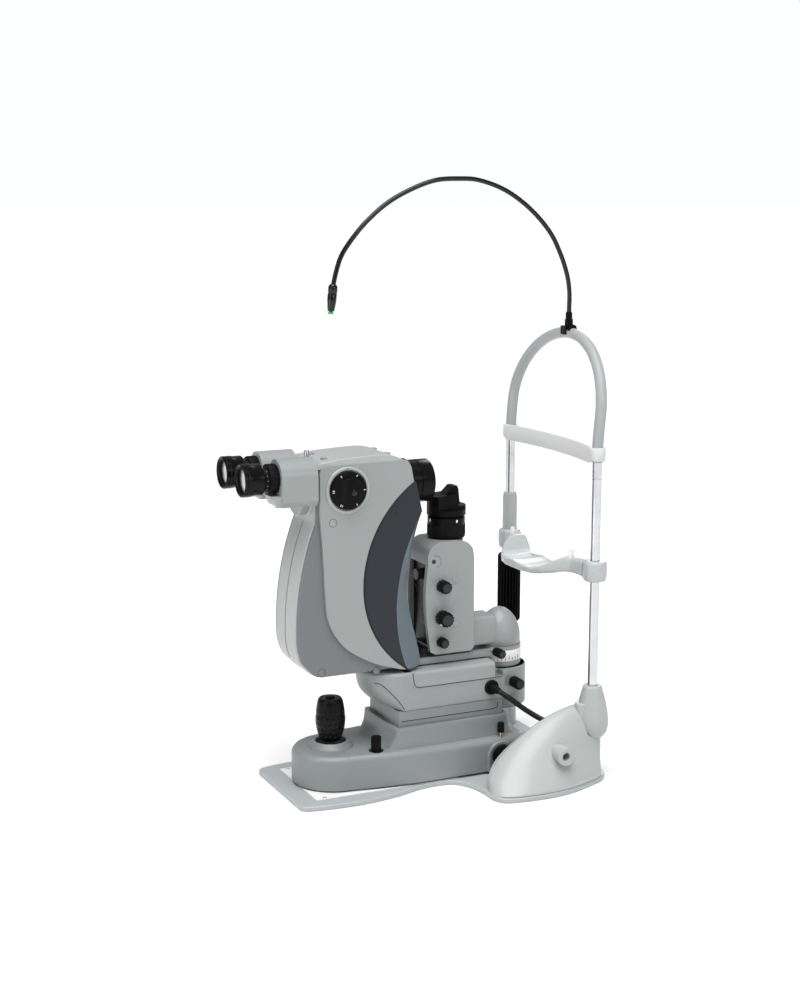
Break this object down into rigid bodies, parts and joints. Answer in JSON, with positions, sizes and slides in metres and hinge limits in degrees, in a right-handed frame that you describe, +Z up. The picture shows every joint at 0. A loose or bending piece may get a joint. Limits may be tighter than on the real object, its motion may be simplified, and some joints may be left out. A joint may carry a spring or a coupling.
{
  "type": "slit lamp",
  "caption": "Slit lamp with a binocular laser body and an illumination tower swinging on a joystick base, on a plate with a chin rest and a curved fixation lamp.",
  "frame": {"origin": "centre of the outline's footprint, on the table", "axes": "+X from the doctor to the patient, +Y to the doctor's left, +Z up"},
  "size_m": [0.461, 0.3204, 0.742],
  "materials": {
    "plate_paint": "satin",
    "slide_white": "matt",
    "light_paint": "satin",
    "grey_paint": "satin",
    "panel_paint": "satin",
    "slate_paint": "satin",
    "chin_white": "semi gloss",
    "white_silicone": "matt",
    "arch_foam": "matt",
    "steel": "brushed",
    "chrome": "polished",
    "black_plastic": "matt",
    "black_gloss": "gloss",
    "black_rubber": "matt",
    "black_metal": "satin",
    "dark_metal": "satin",
    "cable_black": "satin",
    "lens_glass": "polished"
  },
  "bodies": {
    "stand": {"base_plate": "plate_paint", "slide_sheet": "slide_white", "rail_cover_right": "light_paint", "rail_cover_left": "light_paint", "side_sockets": "light_paint", "racks": "steel", "pole_stands": "light_paint", "poles": "chrome", "head_arch": "arch_foam", "forehead_band": "white_silicone", "lamp_clamp": "black_plastic"},
    "cross_slide": {"wheel_guides": "black_plastic"},
    "axle_set": {"axle": "steel", "drive_wheels": "steel"},
    "base": {"base_housing": "grey_paint", "base_floor": "steel", "column_skirt": "grey_paint", "axle_boots": "black_rubber"},
    "base_lock": {"base_lock_knob": "black_plastic"},
    "transport_lock": {"transport_pin": "black_plastic"},
    "gimbal": {"gimbal_ring": "steel"},
    "stick": {"joystick_shaft": "steel"},
    "grip": {"joystick_grip": "black_plastic"},
    "button": {"fire_button": "black_gloss"},
    "screw": {"lift_screw": "steel"},
    "lift_unit": {"column": "grey_paint", "arm_housing": "grey_paint", "arm_cover": "grey_paint", "pivot_shaft": "steel", "cable_gland": "black_rubber", "cable": "cable_black"},
    "arm_lock": {"arm_lock_knob": "black_plastic"},
    "microscope": {"microscope_arm": "light_paint", "body_casing": "light_paint", "rear_cover": "light_paint", "side_panels": "panel_paint", "side_shells": "slate_paint", "objective_barrel": "black_metal", "objective_lens": "lens_glass", "laser_module": "dark_metal", "binocular_mount": "grey_paint"},
    "swing_lock": {"swing_lock_knob": "black_plastic"},
    "changer": {"magnification_changer": "black_plastic"},
    "prism_right": {"prism_housing_right": "grey_paint"},
    "prism_left": {"prism_housing_left": "grey_paint"},
    "ocular_right": {"eyepiece_right": "black_rubber", "eye_lens_right": "lens_glass"},
    "ocular_left": {"eyepiece_left": "black_rubber", "eye_lens_left": "lens_glass"},
    "illumination": {"illumination_arm": "grey_paint", "tower_housing": "grey_paint", "lamp_module": "dark_metal"},
    "tower_ring": {"tower_knob": "black_plastic"},
    "tower_head": {"tower_lever": "black_plastic"},
    "filter": {"filter_knob": "black_plastic"},
    "aperture": {"aperture_knob": "black_plastic"},
    "slit": {"slit_knob": "black_plastic"},
    "chin": {"chin_rest": "chin_white"},
    "chin_drive": {"chin_knob": "black_rubber"},
    "lamp": {"fixation_arm": "black_plastic"}
  },
  "joints": [
    {"name": "fore_aft", "type": "slide", "parent": "stand", "child": "cross_slide", "axis": [1, 0, 0], "range_m": [-0.008, 0.036], "deforming": ["cable"]},
    {"name": "axle_spin", "type": "hinge", "parent": "cross_slide", "child": "axle_set", "pos_m": [0.0975, 0, 0.028], "axis": [0, 1, 0], "range_deg": [-32, 140]},
    {"name": "sideways", "type": "slide", "parent": "cross_slide", "child": "base", "axis": [0, 1, 0], "range_m": [-0.024, 0.024], "deforming": ["cable"]},
    {"name": "base_lock_turn", "type": "hinge", "parent": "base", "child": "base_lock", "pos_m": [-0.0645, -0.044, 0.06], "axis": [0, 0, 1], "range_deg": [-180, 180]},
    {"name": "transport_pull", "type": "slide", "parent": "base", "child": "transport_lock", "axis": [0, 0, 1], "range_m": [0, 0.005]},
    {"name": "joystick_tilt", "type": "hinge", "parent": "base", "child": "gimbal", "pos_m": [-0.1065, 0, 0.034], "axis": [0, 1, 0], "range_deg": [-9, 9]},
    {"name": "joystick_lean", "type": "hinge", "parent": "gimbal", "child": "stick", "pos_m": [-0.1065, 0, 0.034], "axis": [1, 0, 0], "range_deg": [-9, 9]},
    {"name": "joystick_twist", "type": "hinge", "parent": "stick", "child": "grip", "pos_m": [-0.1065, 0, 0.09], "axis": [0, 0, 1], "range_deg": [0, 722]},
    {"name": "fire_press", "type": "slide", "parent": "grip", "child": "button", "axis": [0, 0, 1], "range_m": [-0.002, 0], "stiffness_N_per_m": 400, "springref_m": 0.0006},
    {"name": "screw_turn", "type": "hinge", "parent": "base", "child": "screw", "pos_m": [0.0405, 0, 0.05], "axis": [0, 0, 1], "range_deg": [0, 722]},
    {"name": "lift", "type": "slide", "parent": "base", "child": "lift_unit", "axis": [0, 0, 1], "range_m": [0, 0.03], "deforming": ["cable"]},
    {"name": "arm_lock_turn", "type": "hinge", "parent": "lift_unit", "child": "arm_lock", "pos_m": [0.1295, -0.045, 0.113], "axis": [0, -1, 0], "range_deg": [-180, 180]},
    {"name": "microscope_swing", "type": "hinge", "parent": "lift_unit", "child": "microscope", "pos_m": [0.1275, 0, 0.14], "axis": [0, 0, 1], "range_deg": [-35, 35]},
    {"name": "swing_lock_turn", "type": "hinge", "parent": "microscope", "child": "swing_lock", "pos_m": [0.1095, -0.038, 0.1516], "axis": [0, -1, 0], "range_deg": [-180, 180]},
    {"name": "magnification", "type": "hinge", "parent": "microscope", "child": "changer", "pos_m": [-0.0995, 0, 0.377], "axis": [0, 1, 0], "continuous": true},
    {"name": "pupil_distance_right", "type": "hinge", "parent": "microscope", "child": "prism_right", "pos_m": [-0.1585, 0, 0.371], "axis": [1, 0, 0], "range_deg": [-9, 9]},
    {"name": "pupil_distance_left", "type": "hinge", "parent": "microscope", "child": "prism_left", "pos_m": [-0.1585, 0, 0.371], "axis": [1, 0, 0], "range_deg": [-9, 9]},
    {"name": "dioptre_right", "type": "hinge", "parent": "prism_right", "child": "ocular_right", "pos_m": [-0.1885, -0.032, 0.396], "axis": [1, 0, 0], "range_deg": [-120, 120]},
    {"name": "dioptre_left", "type": "hinge", "parent": "prism_left", "child": "ocular_left", "pos_m": [-0.1885, 0.032, 0.396], "axis": [1, 0, 0], "range_deg": [-120, 120]},
    {"name": "illumination_swing", "type": "hinge", "parent": "lift_unit", "child": "illumination", "pos_m": [0.1275, 0, 0.18], "axis": [0, 0, 1], "range_deg": [-35, 35]},
    {"name": "slit_rotation", "type": "hinge", "parent": "illumination", "child": "tower_ring", "pos_m": [0.0515, 0, 0.314], "axis": [0, 0, 1], "range_deg": [-90, 90]},
    {"name": "slit_length", "type": "hinge", "parent": "illumination", "child": "tower_head", "pos_m": [0.0515, 0, 0.345], "axis": [0, 0, 1], "range_deg": [-45, 45]},
    {"name": "filter_turn", "type": "hinge", "parent": "illumination", "child": "filter", "pos_m": [0.0315, -0.035, 0.245], "axis": [0, -1, 0], "continuous": true},
    {"name": "aperture_turn", "type": "hinge", "parent": "illumination", "child": "aperture", "pos_m": [0.0315, -0.035, 0.205], "axis": [0, -1, 0], "range_deg": [-150, 150]},
    {"name": "slit_width_turn", "type": "hinge", "parent": "illumination", "child": "slit", "pos_m": [0.0305, -0.035, 0.174], "axis": [0, -1, 0], "range_deg": [-120, 120]},
    {"name": "chin_height", "type": "slide", "parent": "stand", "child": "chin", "axis": [0, 0, 1], "range_m": [-0.02, 0.04]},
    {"name": "chin_turn", "type": "hinge", "parent": "chin", "child": "chin_drive", "pos_m": [0.2015, 0.11, 0.2], "axis": [0, 0, 1], "range_deg": [-602, 1202]},
    {"name": "lamp_swivel", "type": "hinge", "parent": "stand", "child": "lamp", "pos_m": [0.223, 0, 0.565], "axis": [0, 0, 1], "range_deg": [-90, 90]}
  ],
  "couplings": [
    {"joint": "axle_spin", "follows": "fore_aft", "rad_per_m": 66.667},
    {"joint": "joystick_twist", "follows": "lift", "rad_per_m": 418.88},
    {"joint": "screw_turn", "follows": "lift", "rad_per_m": 418.88},
    {"joint": "pupil_distance_left", "follows": "pupil_distance_right", "ratio": -1},
    {"joint": "chin_turn", "follows": "chin_height", "rad_per_m": 523.6}
  ]
}
